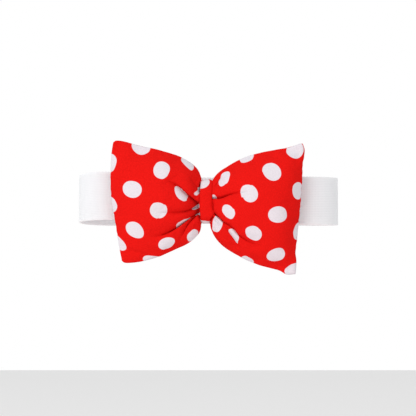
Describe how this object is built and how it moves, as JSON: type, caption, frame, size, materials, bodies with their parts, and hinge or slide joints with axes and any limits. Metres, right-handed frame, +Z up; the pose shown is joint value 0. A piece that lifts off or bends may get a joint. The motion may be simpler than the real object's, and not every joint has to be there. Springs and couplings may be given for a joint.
{
  "type": "bow tie",
  "caption": "Pre-tied padded bow tie in dotted cotton, gathered under a narrow knot, on a looped elastic neck band.",
  "frame": {"origin": "middle of the neck opening, at half the height of the elastic band", "axes": "+X along the bow, to the right of a viewer who faces it; -Y out of the bow's front; +Z up as worn"},
  "size_m": [0.1364, 0.0564, 0.0682],
  "materials": {
    "dotted_cotton": "matt plain-weave cotton, red with off-white polka dots",
    "white_elastic": "matt woven elastic, white",
    "polyester_fill": "loose white fibre",
    "red_thread": "spun thread, red",
    "white_thread": "spun thread, white"
  },
  "bodies": {
    "neck_band": {"elastic_band": "white_elastic", "band_join_stitching": "white_thread"},
    "knot": {"knot_wrap": "dotted_cotton", "wrap_closing_stitches": "red_thread", "waist_gathers": "dotted_cotton", "gather_thread": "red_thread"},
    "left_wing": {"left_front_panel": "dotted_cotton", "left_back_panel": "dotted_cotton", "left_filling": "polyester_fill", "left_seam_thread": "red_thread"},
    "right_wing": {"right_front_panel": "dotted_cotton", "right_back_panel": "dotted_cotton", "right_filling": "polyester_fill", "right_seam_thread": "red_thread"}
  },
  "joints": [
    {"name": "bow_slide", "type": "slide", "parent": "neck_band", "child": "knot", "axis": [1, 0, 0], "range_m": [-0.008, 0.008]},
    {"name": "left_wing_fold", "type": "hinge", "parent": "knot", "child": "left_wing", "pos_m": [-0.0011, -0.023, -0.0023], "axis": [0, 0, 1], "range_deg": [0, 20], "stiffness_Nm_per_rad": 0.04},
    {"name": "right_wing_fold", "type": "hinge", "parent": "knot", "child": "right_wing", "pos_m": [-0.0011, -0.023, -0.0023], "axis": [0, 0, -1], "range_deg": [0, 20], "stiffness_Nm_per_rad": 0.04}
  ]
}
